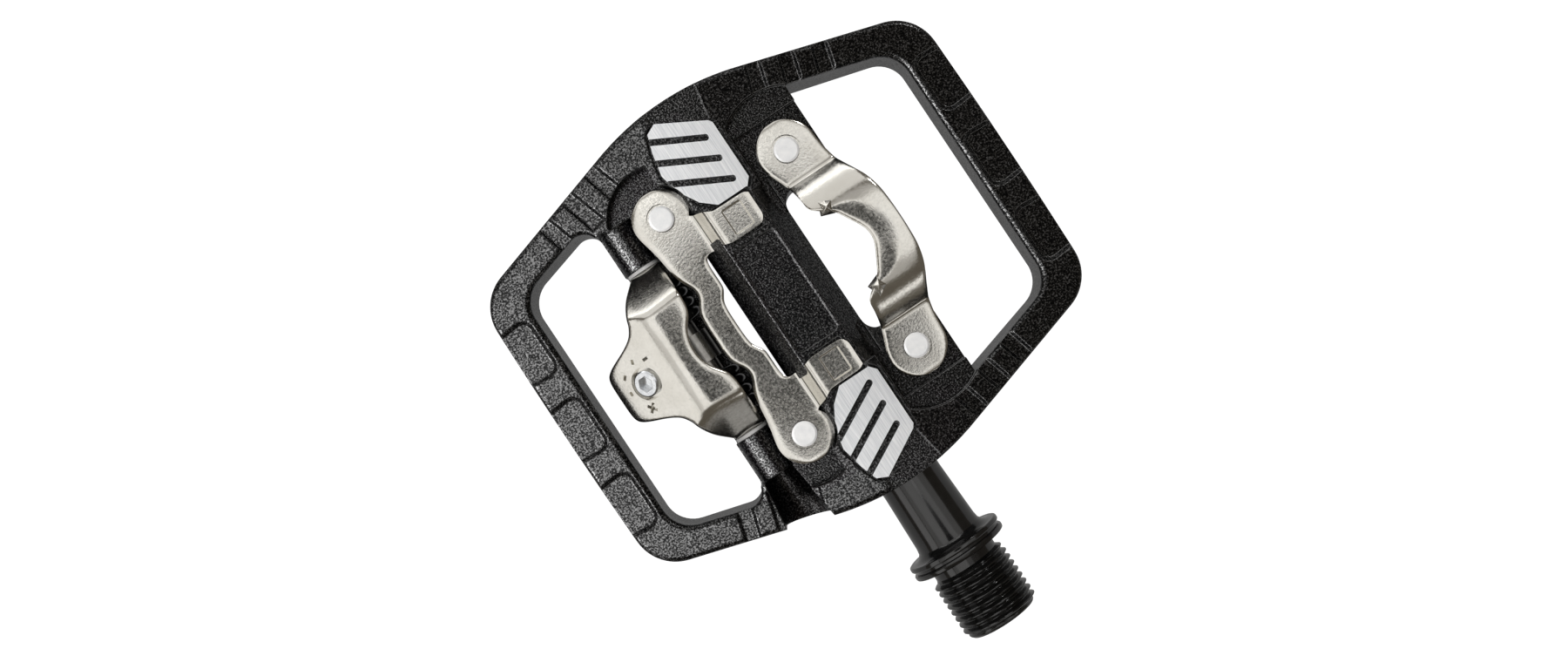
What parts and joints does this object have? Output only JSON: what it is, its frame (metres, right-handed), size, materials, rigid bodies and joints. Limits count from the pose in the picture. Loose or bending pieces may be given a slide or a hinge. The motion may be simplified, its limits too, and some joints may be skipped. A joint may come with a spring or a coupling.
{
  "type": "clipless bicycle pedal",
  "caption": "Single-sided clipless pedal with a wide open platform, sprung release jaw, fixed front hook and threaded axle.",
  "frame": {"origin": "middle of the platform on the axle line", "axes": "+X towards the fixed front jaw, -Y along the axle to the crank thread, +Z the side that takes the cleat"},
  "size_m": [0.0908, 0.1068, 0.02],
  "materials": {
    "black_anodised_alloy": "bead-blasted black anodised, grip pads machined bright",
    "nickel_plated_steel": "polished nickel plate",
    "rivet_steel": "bright",
    "pin_steel": "ground",
    "black_spring_steel": "black oxide",
    "zinc_screw": "bright zinc plate",
    "nut_steel": "plain",
    "black_axle_steel": "gloss black electrophoretic coat",
    "seal_rubber": "matt",
    "bearing_steel": "ground",
    "cage_nylon": "moulded",
    "shield_steel": "pressed",
    "cap_nylon": "moulded black"
  },
  "bodies": {
    "spindle": {"axle": "black_axle_steel", "axle_lock_washer": "nut_steel", "axle_lock_nut": "nut_steel", "inner_ball_bearing_inner_race": "bearing_steel", "outer_ball_bearing_inner_race": "bearing_steel"},
    "platform": {"platform_body": "black_anodised_alloy", "cleat_plate": "nickel_plated_steel", "front_hook": "nickel_plated_steel", "cleat_plate_rivets": "rivet_steel", "front_hook_rivets": "rivet_steel", "claw_pin": "pin_steel", "claw_pin_washers": "pin_steel", "spring_spacer": "pin_steel", "outboard_spring": "black_spring_steel", "inboard_spring": "black_spring_steel", "axle_seal": "seal_rubber", "needle_bearing_cup": "bearing_steel", "inner_ball_bearing_outer_race": "bearing_steel", "inner_ball_bearing_shields": "shield_steel", "outer_ball_bearing_outer_race": "bearing_steel", "outer_ball_bearing_shields": "shield_steel", "end_cap": "cap_nylon", "end_cap_o_ring": "seal_rubber"},
    "claw": {"release_claw": "nickel_plated_steel"},
    "tension_screw": {"tension_screw": "zinc_screw", "tension_screw_clip": "zinc_screw"},
    "tension_nut": {"tension_nut_plate": "nut_steel"},
    "inner_ball_set": {"inner_ball_bearing_balls": "bearing_steel", "inner_ball_bearing_cage": "cage_nylon"},
    "outer_ball_set": {"outer_ball_bearing_balls": "bearing_steel", "outer_ball_bearing_cage": "cage_nylon"},
    "needle_set": {"needle_bearing_needles": "bearing_steel", "needle_bearing_cage": "cage_nylon"}
  },
  "joints": [
    {"name": "platform_spin", "type": "hinge", "parent": "spindle", "child": "platform", "pos_m": [0, 0, 0], "axis": [0, 1, 0], "continuous": true},
    {"name": "inner_ball_spin", "type": "hinge", "parent": "spindle", "child": "inner_ball_set", "pos_m": [0, 0, 0], "axis": [0, 1, 0], "continuous": true},
    {"name": "outer_ball_spin", "type": "hinge", "parent": "spindle", "child": "outer_ball_set", "pos_m": [0, 0, 0], "axis": [0, 1, 0], "continuous": true},
    {"name": "needle_spin", "type": "hinge", "parent": "spindle", "child": "needle_set", "pos_m": [0, 0, 0], "axis": [0, 1, 0], "continuous": true},
    {"name": "claw_release", "type": "hinge", "parent": "platform", "child": "claw", "pos_m": [-0.0185, 0, -0.0003], "axis": [0, -1, 0], "range_deg": [0, 20], "stiffness_Nm_per_rad": 1, "springref_deg": -20.05, "deforming": ["outboard_spring", "inboard_spring"]},
    {"name": "tension_screw_turn", "type": "hinge", "parent": "claw", "child": "tension_screw", "pos_m": [-0.0284, 0, 0.00675], "axis": [-0.5299, 0, 0.848], "range_deg": [-720, 720]},
    {"name": "tension_nut_travel", "type": "slide", "parent": "claw", "child": "tension_nut", "axis": [0.5299, 0, -0.848], "range_m": [-0.0014, 0.0014], "deforming": ["outboard_spring", "inboard_spring"]}
  ],
  "couplings": [
    {"joint": "inner_ball_spin", "follows": "platform_spin", "ratio": 0.6},
    {"joint": "outer_ball_spin", "follows": "platform_spin", "ratio": 0.6},
    {"joint": "needle_spin", "follows": "platform_spin", "ratio": 0.549},
    {"joint": "tension_screw_turn", "follows": "tension_nut_travel", "rad_per_m": 8976}
  ]
}
